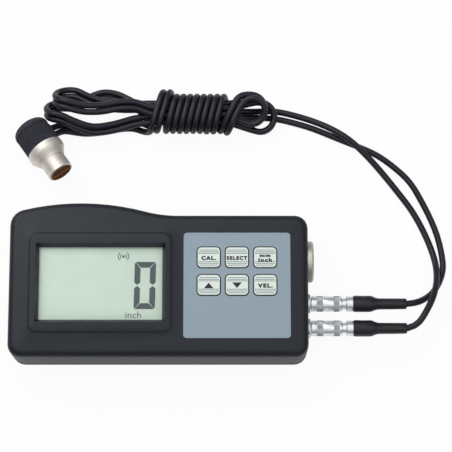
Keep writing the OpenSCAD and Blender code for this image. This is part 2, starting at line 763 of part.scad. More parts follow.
module collet_nut(y) {
    r = sleeve_d / 2;
    color([0.85, 0.85, 0.87])
    translate([collet_x, y, port_z]) rotate([0, 90, 0])
        rotate_extrude()
            polygon([[core_d / 2, 0], [r - 0.3, 0], [r, 0.3], [r, collet_l - 0.2], [r - 0.2, collet_l],
                [core_d / 2, collet_l]]);
}
module boot(y) {
    color([0.03, 0.03, 0.03])
    translate([boot_x, y, port_z]) rotate([0, 90, 0])
        rotate_extrude()
            polygon([[1.9, 0], [boot_d / 2 - 0.3, 0], [boot_d / 2, 0.3], [boot_d / 2, boot_l],
                [tail_d / 2, boot_l + taper_l], [tail_d / 2 - 0.1, boot_l + taper_l + tail_l],
                [0, boot_l + taper_l + tail_l], [0, 5], [1.9, 5]]);
}
module plug_core_upper() {
    plug_core(ports[0]);
}
module plug_core_lower() {
    plug_core(ports[1]);
}
module plug_sleeve_upper() {
    plug_sleeve(ports[0]);
}
module plug_sleeve_lower() {
    plug_sleeve(ports[1]);
}
module collet_nut_upper() {
    collet_nut(ports[0]);
}
module collet_nut_lower() {
    collet_nut(ports[1]);
}
module boot_upper() {
    boot(ports[0]);
}
module boot_lower() {
    boot(ports[1]);
}

module cord_upper() {
    color([0.05, 0.05, 0.06])
    tube(concat([[boot_end, ports[0], port_z]], upper_route), [1, 0, 0], cord_d);
}
module cord_lower() {
    color([0.05, 0.05, 0.06])
    tube(concat([[boot_end, ports[1], port_z]], lower_route), [1, 0, 0], cord_d);
}
module cord_hank() {
    color([0.05, 0.05, 0.06])
    linear_extrude(height = hank_h) {
        translate([hank_x1 - hank_l + hank_w / 2, hank_y]) circle(d = hank_w);
        translate([hank_x1 - hank_w / 2, hank_y]) circle(d = hank_w);
        translate([hank_x1 - hank_l + hank_w / 2, hank_y - hank_w / 2]) square([hank_l - hank_w, hank_w]);
    }
}
module cord_tail_upper() {
    color([0.05, 0.05, 0.06])
    tube(concat([outlet_at(outlet_z - cord_half)], upper_tail), probe_out, cord_d);
}
module cord_tail_lower() {
    color([0.05, 0.05, 0.06])
    tube(concat([outlet_at(outlet_z + cord_half)], lower_tail), probe_out, cord_d);
}

module in_probe() {
    translate(probe_pos) rotate([0, 0, probe_turn]) rotate([0, 90 - probe_tilt, 0]) children();
}
module probe_cap() {
    color([0.05, 0.05, 0.055])
    in_probe() {
        rotate_extrude()
            polygon(concat([[0, 0]], arc_pts([cap_d / 2 - cap_r, cap_r], cap_r, 270, 360, 8),
                [[cap_d / 2, cap_l], [cap_d / 2 - cap_t, cap_l], [cap_d / 2 - cap_t, cap_r],
                [cap_d / 2 - cap_r, cap_t], [0, cap_t]]));
        rotate([0, 0, -outlet_a])
            block([-cord_d / 2 - 0.8, cap_d / 2 - cap_t, outlet_z - cord_half - cord_d / 2 - 0.6],
                [cord_d / 2 + 0.8, outlet_r, outlet_z + cord_half + cord_d / 2 + 0.6]);
    }
}
module probe_shell() {
    r = delay_d / 2 + fit;
    color([0.78, 0.77, 0.74])
    in_probe()
        rotate_extrude()
            polygon([[r, cap_l - spigot_l], [cap_d / 2 - cap_t - fit, cap_l - spigot_l],
                [cap_d / 2 - cap_t - fit, cap_l], [shell_d / 2 - 0.4, cap_l], [shell_d / 2, cap_l + 0.4],
                [shell_d / 2, cap_l + shell_l], [tip_d / 2, cap_l + shell_l + cone_l],
                [tip_d / 2, probe_l - 0.3], [tip_d / 2 - 0.3, probe_l], [r, probe_l]]);
}
module half_disc(d, side) {
    intersection() {
        circle(d = d);
        translate([side < 0 ? -d : barrier_t / 2, -d]) square([d - barrier_t / 2, 2 * d]);
    }
}
module delay_line(side) {
    color([0.14, 0.08, 0.04])
    in_probe()
        translate([0, 0, probe_l - delay_l]) linear_extrude(height = delay_l + delay_out) half_disc(delay_d, side);
}
module delay_line_a() {
    delay_line(-1);
}
module delay_line_b() {
    delay_line(1);
}
module acoustic_barrier() {
    color([0.6, 0.5, 0.38])
    in_probe()
        translate([-barrier_t / 2, -delay_d / 2 + fit, probe_l - delay_l - crystal_t])
            cube([barrier_t, delay_d - 2 * fit, delay_l + crystal_t]);
}
module crystal(side) {
    color([0.7, 0.6, 0.45])
    in_probe()
        translate([0, 0, probe_l - delay_l - crystal_t])
            linear_extrude(height = crystal_t) half_disc(delay_d - 1, side);
}
module crystal_a() {
    crystal(-1);
}
module crystal_b() {
    crystal(1);
}
module probe_backing() {
    color([0.3, 0.3, 0.32])
    in_probe()
        translate([0, 0, cap_l - spigot_l])
            cylinder(d = delay_d, h = shell_l + spigot_l - crystal_t);
}

front_case();
rear_case();
battery_cover();
case_screws();
display_window();
display_glass();
display_frame();
contact_strips();
keypad_panel();
key_calibrate();
key_select();
key_units();
key_raise();
key_lower();
key_velocity();
main_board();
board_chips();
key_switches();
board_screws();
calibration_block();
cell_1();
cell_2();
cell_3();
cell_4();
contacts_left();
contacts_right();
socket_upper();
socket_lower();
socket_nuts();
plug_core_upper();
plug_sleeve_upper();
collet_nut_upper();
boot_upper();
plug_core_lower();
plug_sleeve_lower();
collet_nut_lower();
boot_lower();
cord_upper();
cord_lower();
cord_hank();
cord_tail_upper();
cord_tail_lower();
probe_cap();
probe_shell();
delay_line_a();
delay_line_b();
acoustic_barrier();
crystal_a();
crystal_b();
probe_backing();
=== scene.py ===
import math
import bpy
from mathutils import Euler, Matrix, Vector


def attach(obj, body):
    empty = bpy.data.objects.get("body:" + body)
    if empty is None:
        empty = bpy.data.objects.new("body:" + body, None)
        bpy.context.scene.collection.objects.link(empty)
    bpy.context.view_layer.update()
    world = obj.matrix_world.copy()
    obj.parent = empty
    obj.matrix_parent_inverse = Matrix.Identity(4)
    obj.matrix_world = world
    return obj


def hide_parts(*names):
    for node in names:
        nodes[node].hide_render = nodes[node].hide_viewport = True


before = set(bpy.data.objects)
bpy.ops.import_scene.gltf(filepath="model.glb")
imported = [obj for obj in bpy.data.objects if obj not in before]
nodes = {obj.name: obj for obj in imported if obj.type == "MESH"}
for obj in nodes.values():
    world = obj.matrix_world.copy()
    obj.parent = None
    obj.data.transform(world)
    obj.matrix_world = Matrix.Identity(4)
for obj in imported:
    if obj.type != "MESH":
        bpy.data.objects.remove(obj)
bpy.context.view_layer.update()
scene = bpy.context.scene
scene.view_settings.view_transform = "Standard"
MM = 0.001


def mm(points):
    """Points in millimetres as vectors in metres."""
    return [Vector(p) * MM for p in points]


def link(obj):
    scene.collection.objects.link(obj)
    return obj


# Camera
CAMERA_PLACE = (0.0284, -0.1483, 0.8100)
CAMERA_TILT = 12.3
CAMERA_LENS = 151.3
CAMERA_SENSOR = 36

camera_data = bpy.data.cameras.new("camera")
camera_data.sensor_width = CAMERA_SENSOR
camera_data.lens = CAMERA_LENS
camera = link(bpy.data.objects.new("camera", camera_data))
camera.location = CAMERA_PLACE
camera.rotation_euler = (math.radians(CAMERA_TILT), 0, 0)
scene.camera = camera


# Materials
def linear(r, g, b):
    """A colour as seen on a screen, 0 to 255, as scene-linear values."""
    return [pow((c / 255 + 0.055) / 1.055, 2.4) if c > 10 else c / 255 / 12.92 for c in (r, g, b)]


class Surface:
    """A Principled material whose colour, roughness and bump come from noise in object space."""

    def __init__(self, name, colour, rough, metal=0.0, vary=0.12, grain=600.0, bump=0.15, depth=0.03,
                 stretch=(1, 1, 1), turn=(0, 0, 0), rough_vary=0.06, spec=0.5):
        self.mat = bpy.data.materials.new(name)
        self.mat.use_nodes = True
        self.tree = self.mat.node_tree
        self.shader = self.tree.nodes["Principled BSDF"]
        self.shader.inputs["Metallic"].default_value = metal
        self.shader.inputs["Specular IOR Level"].default_value = spec
        coord = self.node("ShaderNodeTexCoord")
        place = self.node("ShaderNodeMapping")
        place.vector_type = "TEXTURE"
        place.inputs["Rotation"].default_value = [math.radians(a) for a in turn]
        place.inputs["Scale"].default_value = [1 / s for s in stretch]
        self.join(coord.outputs["Object"], place.inputs["Vector"])
        self.where = place.outputs["Vector"]
        noise = self.noise(grain, 5)
        ramp = self.node("ShaderNodeValToRGB")
        base = linear(*colour)
        ramp.color_ramp.elements[0].position = 0.3
        ramp.color_ramp.elements[1].position = 0.7
        ramp.color_ramp.elements[0].color = [c * (1 - vary) for c in base] + [1]
        ramp.color_ramp.elements[1].color = [min(c * (1 + vary), 1) for c in base] + [1]
        self.join(noise, ramp.inputs["Fac"])
        self.join(ramp.outputs["Color"], self.shader.inputs["Base Color"])
        spread = self.node("ShaderNodeMapRange")
        spread.inputs["To Min"].default_value = rough - rough_vary
        spread.inputs["To Max"].default_value = rough + rough_vary
        self.join(self.noise(grain * 0.3, 3), spread.inputs["Value"])
        self.join(spread.outputs["Result"], self.shader.inputs["Roughness"])
        relief = self.node("ShaderNodeBump")
        relief.inputs["Strength"].default_value = bump
        relief.inputs["Distance"].default_value = depth * MM
        self.join(noise, relief.inputs["Height"])
        self.join(relief.outputs["Normal"], self.shader.inputs["Normal"])

    def node(self, kind):
        return self.tree.nodes.new(kind)

    def join(self, a, b):
        self.tree.links.new(a, b)

    def noise(self, scale, detail):
        n = self.node("ShaderNodeTexNoise")
        n.inputs["Scale"].default_value = scale
        n.inputs["Detail"].default_value = detail
        self.join(self.where, n.inputs["Vector"])
        return n.outputs["Fac"]


PROBE_TURN = (0, -9, -55)
case_mat = Surface("case_plastic", (20, 26, 35), 0.45, vary=0.1, grain=1500, bump=0.22, depth=0.03,
                   spec=0.35).mat
cord_mat = Surface("cord_jacket", (24, 25, 36), 0.4, vary=0.12, grain=900, bump=0.1, depth=0.02,
                   spec=0.37).mat
boot_mat = Surface("boot_sleeve", (26, 25, 33), 0.38, vary=0.2, grain=500, bump=0.3, depth=0.06,
                   spec=0.42).mat
cap_mat = Surface("cap_plastic", (54, 56, 63), 0.55, vary=0.15, grain=1200, bump=0.2, depth=0.03,
                  spec=0.15).mat
panel_mat = Surface("panel_film", (146, 164, 175), 0.5, vary=0.035, grain=1200, bump=0.12, depth=0.02).mat
key_mat = Surface("key_cap", (230, 240, 231), 0.45, vary=0.03, grain=900, bump=0.1, depth=0.02).mat
stripe_mat = Surface("key_stripe", (136, 156, 153), 0.5, vary=0.05, grain=1200, bump=0.05).mat
# This dark material colours the printed signs on the keys, and the rings in the keys' gaps as painted
# shade.
ink_and_gap_shade_mat = Surface("key_ink", (24, 32, 36), 0.6, vary=0.1, grain=1500, bump=0.05).mat
lcd_mat = Surface("lcd_glass", (210, 227, 212), 0.3, vary=0.025, grain=160, bump=0.02).mat
segment_mat = Surface("lcd_segment", (56, 70, 76), 0.4, vary=0.08, grain=300, bump=0.02).mat
nickel_mat = Surface("nickel", (218, 219, 222), 0.2, metal=1, vary=0.06, grain=700, bump=0.08,
                     depth=0.01).mat
chrome_mat = Surface("chrome", (240, 242, 245), 0.28, metal=1, vary=0.05, grain=500, bump=0.05,
                     depth=0.01).mat
knurl_mat = Surface("knurl", (184, 188, 194), 0.5, metal=1, vary=0.12, grain=2500, bump=0.2, depth=0.02).mat
steel_mat = Surface("steel", (170, 170, 172), 0.32, metal=1, vary=0.1, grain=900, bump=0.1, depth=0.01).mat
block_mat = Surface("ground_steel", (198, 197, 188), 0.5, metal=1, vary=0.08, grain=1500, bump=0.15,
                    depth=0.01, stretch=(1, 0.05, 1)).mat
shell_mat = Surface("turned_shell", (232, 226, 217), 0.55, metal=1, vary=0.16, grain=2600, bump=0.3,
                    depth=0.012, stretch=(1, 0.04, 0.04), turn=PROBE_TURN).mat
delay_mat = Surface("delay_line", (116, 77, 51), 0.8, vary=0.2, grain=400, bump=0.05, spec=0.02).mat
barrier_mat = Surface("barrier_cork", (190, 152, 112), 0.8, vary=0.2, grain=2500, bump=0.3, spec=0.05).mat
crystal_mat = Surface("crystal", (176, 160, 128), 0.5, vary=0.1, grain=900).mat
backing_mat = Surface("backing", (84, 84, 88), 0.7, vary=0.2, grain=1500).mat
board_mat = Surface("board", (24, 92, 48), 0.4, vary=0.12, grain=300, bump=0.1).mat
black_mat = Surface("black_plastic", (28, 28, 30), 0.45, vary=0.15, grain=900).mat
white_mat = Surface("white_plastic", (218, 218, 210), 0.5, vary=0.04, grain=700).mat
strip_mat = Surface("contact_strip", (196, 186, 182), 0.65, vary=0.12, grain=4000,
                    stretch=(1, 0.05, 0.05)).mat
cell_mat = Surface("cell_jacket", (176, 138, 74), 0.35, metal=0.6, vary=0.1, grain=300).mat


WINDOW_IOR = 1.35


def window_material():
    """Clear window: light passes, and a thin gloss shows by Fresnel."""
    s = Surface("clear_window", (240, 246, 244), 0.08, vary=0.02, grain=80, bump=0.02, rough_vary=0.03)
    clear = s.node("ShaderNodeBsdfTransparent")
    mix = s.node("ShaderNodeMixShader")
    fresnel = s.node("ShaderNodeFresnel")
    fresnel.inputs["IOR"].default_value = WINDOW_IOR
    s.join(fresnel.outputs["Fac"], mix.inputs["Fac"])
    s.join(clear.outputs["BSDF"], mix.inputs[1])
    s.join(s.shader.outputs["BSDF"], mix.inputs[2])
    s.join(mix.outputs["Shader"], s.tree.nodes["Material Output"].inputs["Surface"])
    return s.mat


window_mat = window_material()


# Cords: each leaves its boot, runs free to the hank, lies in four passes, winds round them and ends in the
# probe. The two lie side by side as a pair, so most of the way is given once, for the middle of the pair.
BOOT_END = 104.9
PORT_Z = 15.5
PORT_Y = {"upper": -8.9, "lower": -19.4}
HANK_Y = 77.5
CORD_D = 2.8
PAIR = 1.43  # from the middle of the pair to a cord
UPPER_ROUTE = [
    (109, -8.5, 15), (113, -6.5, 12), (117.5, -2.5, 6.5), (120.5, 2.5, 3), (122.5, 8, 1.5),
    (122.5, 13, 1.5), (120.5, 24, 1.5), (116.5, 33.5, 1.5), (113, 40.5, 1.5), (109, 48, 1.5),
    (102.5, 54, 1.5), (95.5, 59.5, 1.5), (89, 62.5, 1.5), (83, 65, 1.5), (74.5, 68.5, 1.5),
    (66.5, 72, 1.5), (58, 74.5, 1.5), (50, 76.5, 1.5)]
LOWER_ROUTE = [
    (109, -18.5, 15.5), (112, -14.5, 15.5), (114.5, -10, 14.5), (116.5, -6, 13), (118, -1.5, 11),
    (119, 3, 8), (119.5, 10, 3), (117.5, 18, 1.5), (114, 26.5, 1.5), (109.5, 35, 1.5), (105, 41, 1.5),
    (100.5, 47, 1.5), (94, 55, 2.2), (88, 61, 4.2), (82, 66.5, 5), (74.5, 71.5, 3.5), (66, 75.5, 2),
    (58, 78, 1.5), (50, 80, 1.5)]
UPPER_TAIL = [
    (-2.6, 70.9, 3.1), (-4.5, 72.3, 1.9), (-8, 74, 1.4), (-14, 74.8, 1.4), (-20, 74, 1.4),
    (-26, 72.8, 1.4), (-33, 72.4, 1.4), (-40, 73, 1.6), (-45, 73, 2.5), (-48.72, 70.88, 4.65)]
LOWER_TAIL = [
    (-6, 69.6, 3.1), (-8.4, 70.5, 1.9), (-12, 71.8, 1.4), (-17, 71.8, 1.4), (-23, 70.8, 1.4),
    (-29, 69.8, 1.4), (-34, 69.6, 1.4), (-38.5, 70.2, 1.5), (-43, 70.5, 2.5), (-46.79, 68.13, 5.19)]
WRAP_TURNS, WRAP_STEPS, WRAP_PITCH, WRAP_GAP = 5, 16, 5.9, 1.475
WRAP_START, WRAP_DRIFT, DRIFT_FROM = 27.4, 1, 4.5
WRAP_R, WRAP_FRONT, WRAP_BACK, WRAP_Z = 5.65, 2.6, 1.7, 7.05
FIRST_SLACK, FIRST_SPREAD = 0.9, 0.8
LAST_SLACK, LAST_AT, LAST_SPREAD = 2.2, 4.5, 0.4


def fold(centre, r, tilt, a0, a1, lay, count=8):
    """Points of a fold: an arc whose plane is tilted about X; lay is the angle at which the pair lies."""
    x, y, z = centre
    t = math.radians(tilt)
    rows = []
    for i in range(count + 1):
        a = math.radians(a0 + (a1 - a0) * i / count)
        out = r * math.sin(a)
        rows.append((x + r * math.cos(a), y + out * math.cos(t), z + out * math.sin(t), lay))
    return rows


def straight(x0, x1, y, z):
    return [(x0 + (x1 - x0) * t, y, z, 0) for t in (0, 0.5, 1)]


# Rows of the passes: x, y from the middle of the hank, z, and the angle at which the pair lies
PASSES = [(42, 0.4, 2.5, 0), (35, 0, 3.9, 0)]
PASSES += straight(28, -3, 0, 4.25)
PASSES += [(-8, 2.2, 3.6, 0), (-14, 5.8, 2.4, 0), (-20, 8.8, 1.6, 0), (-26, 9.5, 1.5, 0)]
PASSES += [(-32, 7.4, 1.5, 5), (-38, 4.8, 1.8, 25)]
PASSES += fold((-44, 0.6, 7.2), 6.2, -50, 90, 270, 45)
PASSES += [(-37, -6.3, 11, 45), (-29.5, -8.3, 9.6, 35), (-20.5, -6.8, 8.2, 20), (-11.5, -4, 7.3, 5)]
PASSES += straight(-3, 28, -2.87, 7.05)
PASSES += [(33, -4.6, 6.2, -40)]
PASSES += fold((43, -1.6, 5.6), 6.6, 10, -90, 90, -80)
PASSES += [(34, 3.8, 7, -40)]
PASSES += straight(28, -3, 2.87, 7.05)
PASSES += [(-9, 2.9, 6.8, 0), (-16, 3, 6.3, 5), (-23, 3.7, 5.8, 5), (-29, 5.4, 5.4, 5)]
PASSES += [(-33.5, 7.3, 5.3, 10)]
PASSES += fold((-40.2, 5.9, 9.3), 6.2, -52, 60, 250, 10)
PASSES += [(-34, 0.4, 13, 10), (-26, 0.7, 11.9, 10), (-18, 2.3, 11.2, 5), (-11, 2.5, 10.4, 0)]
PASSES += straight(-3, 28, 0, 9.85)
PASSES += [(33, -2.4, 9.2, -30)]
PASSES += fold((39, 0.4, 11), 6.5, 25, -90, 80, -65)
# From the last fold over the bundle to the first turn, and how far each cord lies from this way
SLANT = [(35.3, 5, 13.6), (32.9, 1, 13.6), (30.8, -3, 13), (29.3, -6.4, 11.5)]
SLANT_DX, SLANT_DY = 1.2, 0.8


def lie(rows, side):
    """One cord of the pair: side is -1 or +1, and each row's angle turns the pair about X."""
    points = []
    for x, y, z, lay in rows:
        a = math.radians(lay)
        points.append((x, HANK_Y + y + side * PAIR * math.cos(a), z + side * PAIR * math.sin(a)))
    return points


def wrap_section(f, front, back):
    """A point of the turns' section: f runs from 0 to 1 from the front, below, behind and above."""
    quarter = math.pi / 2 * WRAP_R
    flat = front + back
    d = f * (4 * quarter + 2 * flat)
    if d < quarter:
        a = d / WRAP_R
        return -front - WRAP_R * math.cos(a), -WRAP_R * math.sin(a)
    d -= quarter
    if d < flat:
        return d - front, -WRAP_R
    d -= flat
    if d < 2 * quarter:
        a = d / WRAP_R
        return back + WRAP_R * math.sin(a), -WRAP_R * math.cos(a)
    d -= 2 * quarter
    if d < flat:
        return back - d, WRAP_R
    a = (d - flat) / WRAP_R
    return -front - WRAP_R * math.sin(a), WRAP_R * math.cos(a)


def winding(shift, end):
    """The turns round the passes, leaning on their upper side, slack where they begin and end."""
    points = []
    for i in range(round(end * WRAP_STEPS) + 1):
        t = i / WRAP_STEPS
        front = WRAP_FRONT + FIRST_SLACK * math.exp(-(t / FIRST_SPREAD) ** 2)
        back = WRAP_BACK + LAST_SLACK * math.exp(-((t - LAST_AT) / LAST_SPREAD) ** 2)
        late = max(0, 2 * (t - DRIFT_FROM))
        y, z = wrap_section(t % 1, front, back)
        lean = (math.cos(2 * math.pi * t) - 1) / (2 * math.pi)
        x = WRAP_START - WRAP_PITCH * (t + lean) - WRAP_DRIFT * late * late * (3 - 2 * late) + shift
        points.append((x, HANK_Y + y, WRAP_Z + z))
    return points


def even(points, step, pieces=8):
    """Points at even steps on a smooth curve through the given ones."""
    fine = []
    for i in range(len(points) - 1):
        a, b, c, d = (points[max(0, min(len(points) - 1, i + k))] for k in (-1, 0, 1, 2))
        span = math.dist(b, c)
        in_b = span / (span + math.dist(a, b))
        in_c = span / (span + math.dist(c, d))
        for k in range(pieces):
            t = k / pieces
            at_b, at_c = 2 * t ** 3 - 3 * t ** 2 + 1, 3 * t ** 2 - 2 * t ** 3
            from_b, to_c = t ** 3 - 2 * t ** 2 + t, t ** 3 - t ** 2
            fine.append(tuple(at_b * q + from_b * in_b * (r - p) + at_c * r + to_c * in_c * (s - q)
                              for p, q, r, s in zip(a, b, c, d)))
    fine.append(points[-1])
    out = [fine[0]]
    left = step
    for p, q in zip(fine, fine[1:]):
        d = math.dist(p, q)
        while left < d:
            out.append(tuple(a + (b - a) * left / d for a, b in zip(p, q)))
            left += step
        left -= d
    return out + [fine[-1]]


def ease(points, least, low, rounds):
    """Relaxes each bend that is tighter than least, and keeps the way above the table."""
    way = [list(p) for p in points]
    for _ in range(rounds):
        for i in range(1, len(way) - 1):
            p, q, r = way[i - 1], way[i], way[i + 1]
            mid = [(a + b) / 2 for a, b in zip(p, r)]
            sag = math.dist(mid, q)
            room = math.dist(p, r) ** 2 / 8 / least
            if sag > room:
                pull = 0.5 * (1 - room / sag)
                way[i] = [a + (b - a) * pull for a, b in zip(q, mid)]
            way[i][2] = max(way[i][2], low)
    return [tuple(p) for p in way]


def cord_curve(name, points):
    data = bpy.data.curves.new(name, "CURVE")
    data.dimensions = "3D"
    data.bevel_depth = CORD_D / 2 * MM
    data.bevel_resolution = 4
    data.resolution_u = 3
    data.use_fill_caps = True
    spline = data.splines.new("NURBS")
    spline.points.add(len(points) - 1)
    for knot, p in zip(spline.points, mm(points)):
        knot.co = (*p, 1)
    spline.order_u = 4
    spline.use_endpoint_u = True
    data.materials.append(cord_mat)
    return link(bpy.data.objects.new(name, data))


WAY_STEP, LEAST_BEND, LOWEST, EASE_ROUNDS = 2, 5.6, 1.45, 40
WAYS = {"upper": (-1, UPPER_ROUTE, UPPER_TAIL), "lower": (1, LOWER_ROUTE, LOWER_TAIL)}
cords = {}
for name, (side, route, tail) in WAYS.items():
    slant = [(x - side * SLANT_DX, HANK_Y + y + side * SLANT_DY, z) for x, y, z in SLANT]
    way = lie(PASSES, side) + slant + winding(-side * WRAP_GAP, WRAP_TURNS) + tail
    start = (BOOT_END, PORT_Y[name], PORT_Z)
    wound = ease(even(way, WAY_STEP), LEAST_BEND, LOWEST, EASE_ROUNDS)
    cord = cord_curve("lead_" + name, [start] + route + wound)
    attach(cord, "gauge")
    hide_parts("cord_" + name, "cord_tail_" + name, *(["cord_hank"] if side < 0 else []))
    cords[name] = cord


# Stage
def light_path_factor(tree, seen, mirrored):
    """Share of the floor's own white: seen by the camera, and mirrored or seen through glass."""
    path = tree.nodes.new("ShaderNodeLightPath")
    total = None
    shares = {"Is Camera Ray": seen, "Is Glossy Ray": mirrored, "Is Transmission Ray": mirrored}
    for name, share in shares.items():
        step = tree.nodes.new("ShaderNodeMath")
        step.operation = "MULTIPLY_ADD"
        tree.links.new(path.outputs[name], step.inputs[0])
        step.inputs[1].default_value = share
        step.inputs[2].default_value = 0
        if total:
            tree.links.new(total, step.inputs[2])
        total = step.outputs["Value"]
    return total


FLOOR_HALF, FLOOR_DROP = 3.0, 0.0001
FLOOR_SEEN, FLOOR_MIRRORED = 0.94, 0.5
LIGHT_AIM = (0.02, 0.03, 0)
# Steps of the sky: height from 0 below to 1 above, and its grey
SKY = ((0.0, 0.2), (0.5, 0.28), (0.8, 0.6), (1.0, 1.0))
SKY_BLUE = 1.02


def add_floor():
    mesh = bpy.data.meshes.new("floor")
    corners = [(x * FLOOR_HALF, y * FLOOR_HALF, 0) for x, y in ((-1, -1), (1, -1), (1, 1), (-1, 1))]
    mesh.from_pydata(corners, [], [(0, 1, 2, 3)])
    floor = link(bpy.data.objects.new("floor", mesh))
    floor.location.z = -FLOOR_DROP
    s = Surface("floor_paper", (246, 246, 246), 0.9, vary=0.01, grain=60, bump=0.02)
    glow = s.node("ShaderNodeEmission")
    glow.inputs["Color"].default_value = (1, 1, 1, 1)
    mix = s.node("ShaderNodeMixShader")
    s.join(light_path_factor(s.tree, FLOOR_SEEN, FLOOR_MIRRORED), mix.inputs["Fac"])
    s.join(s.shader.outputs["BSDF"], mix.inputs[1])
    s.join(glow.outputs["Emission"], mix.inputs[2])
    s.join(mix.outputs["Shader"], s.tree.nodes["Material Output"].inputs["Surface"])
    mesh.materials.append(s.mat)


def add_lamp(name, place, size, power):
    data = bpy.data.lights.new(name, "AREA")
    data.shape = "DISK"
    data.size = size
    data.energy = power
    lamp = link(bpy.data.objects.new(name, data))
    lamp.location = place
    lamp.rotation_euler = (Vector(LIGHT_AIM) - Vector(place)).to_track_quat("-Z", "Y").to_euler()


def add_world():
    world = bpy.data.worlds.new("studio")
    world.use_nodes = True
    scene.world = world
    tree = world.node_tree
    coord = tree.nodes.new("ShaderNodeTexCoord")
    split = tree.nodes.new("ShaderNodeSeparateXYZ")
    ramp = tree.nodes.new("ShaderNodeValToRGB")
    for place, _ in SKY[1:-1]:
        ramp.color_ramp.elements.new(place)
    for stop, (place, level) in zip(ramp.color_ramp.elements, SKY):
        stop.position = place
        stop.color = (level, level, level * SKY_BLUE, 1)
    tree.links.new(coord.outputs["Generated"], split.inputs["Vector"])
    tree.links.new(split.outputs["Z"], ramp.inputs["Fac"])
    tree.links.new(ramp.outputs["Color"], tree.nodes["Background"].inputs["Color"])
    tree.nodes["Background"].inputs["Strength"].default_value = 1.0


add_floor()
add_world()
add_lamp("key_light", (-0.35, 0.45, 0.7), size=0.8, power=4.0)
add_lamp("fill_light", (0.5, -0.1, 0.8), size=0.6, power=0.5)


# Pieces made here: turned parts, prints and display signs
PIECE_EDGE = 35  # degrees from which an edge stays sharp
WOBBLE_LOBES, WOBBLE_TWIST = 3, 0.9


def piece(name, verts, faces, mat, body, slot, smooth=True):
    """A mesh in row millimetres that rides a body."""
    mesh = bpy.data.meshes.new(name)
    mesh.from_pydata(mm(verts), [], faces)
    mesh.materials.append(mat)
    mesh.polygons.foreach_set("use_smooth", [smooth] * len(mesh.polygons))
    obj = link(bpy.data.objects.new(name, mesh))
    if smooth:
        split = obj.modifiers.new("split", "EDGE_SPLIT")
        split.split_angle = math.radians(PIECE_EDGE)
    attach(obj, body)
    return obj


def lathe(profile, place, sides, ridges=0, wobble=0.0, cross=0.0):
    """Vertices and faces turned about an axis: profile rows are along, radius and depth of the ridges.

    With cross, two sets of ridges run across each other, cross radians to the millimetre along the axis.
    """
    verts, faces = [], []
    for along, radius, depth in profile:
        for k in range(sides):
            a = 2 * math.pi * k / sides
            ridge = math.sin((ridges * a + cross * along) / 2) * math.sin((ridges * a - cross * along) / 2)
            uneven = wobble * math.sin(WOBBLE_LOBES * a + WOBBLE_TWIST * along)
            r = radius - depth * (1 - abs(ridge)) + uneven
            verts.append(place @ Vector((along, r * math.cos(a), r * math.sin(a))))
    rows = len(profile)
    for i in range(rows - 1):
        for k in range(sides):
            n = (k + 1) % sides
            faces.append((i * sides + k, i * sides + n, (i + 1) * sides + n, (i + 1) * sides + k))
    faces.append(tuple(range(sides - 1, -1, -1)))
    faces.append(tuple((rows - 1) * sides + k for k in range(sides)))
    return verts, faces


def ring_lathe(profile, place, sides, ridges):
    """As lathe, closed through a bore: the last row joins the first."""
    verts, faces = lathe(profile, place, sides, ridges)
    last = (len(profile) - 1) * sides
    faces = faces[:-2]
    for k in range(sides):
        n = (k + 1) % sides
        faces.append((last + k, last + n, n, k))
    return verts, faces


SLEEVE_X = 64.4
BOOT_X = 82.3
SLEEVE_SIDES, SLEEVE_RIDGES = 240, 60
BOOT_SIDES, BOOT_WOBBLE = 64, 0.035
SLEEVE = [
    (0, 2.75, 0), (0, 3.05, 0), (0.25, 3.3, 0), (1.7, 3.3, 0), (1.8, 3.1, 0), (2.1, 3.1, 0), (2.2, 3.3, 0),
    (2.45, 3.3, 0), (2.5, 3.34, 0.12), (5, 3.34, 0.12), (5.05, 3.27, 0), (9.55, 3.27, 0), (9.6, 3.34, 0.12),
    (12, 3.34, 0.12), (12.05, 3.27, 0), (12.7, 3.2, 0), (13.2, 2.95, 0), (13.2, 2.75, 0)]
BOOT = [
    (0, 3.15, 0), (0.3, 3.45, 0), (1.5, 3.5, 0), (4, 3.46, 0), (7, 3.48, 0), (8, 3.3, 0), (9.3, 2.75, 0),
    (10.6, 2.42, 0), (13, 2.36, 0), (17, 2.36, 0), (20.5, 2.3, 0), (22.2, 2.3, 0), (22.6, 2.1, 0)]


def banded(obj, mat, profile, sides):
    """Gives the ridged bands of a turned piece a material of their own."""
    obj.data.materials.append(mat)
    for i, (a, b) in enumerate(zip(profile, profile[1:])):
        for k in range(sides if a[2] and b[2] else 0):
            obj.data.polygons[i * sides + k].material_index = 1


for name, y in PORT_Y.items():
    place = Matrix.Translation((SLEEVE_X, y, PORT_Z))
    turned = ring_lathe(SLEEVE, place, SLEEVE_SIDES, SLEEVE_RIDGES)
    sleeve = piece("sleeve_" + name, *turned, chrome_mat, "sleeve_" + name, "chrome")
    banded(sleeve, knurl_mat, SLEEVE, SLEEVE_SIDES)
    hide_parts("plug_sleeve_" + name)
    place = Matrix.Translation((BOOT_X, y, PORT_Z))
    turned = lathe(BOOT, place, BOOT_SIDES, wobble=BOOT_WOBBLE)
    piece("boot_sleeve_" + name, *turned, boot_mat, "gauge", "boot")
    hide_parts("boot_" + name)

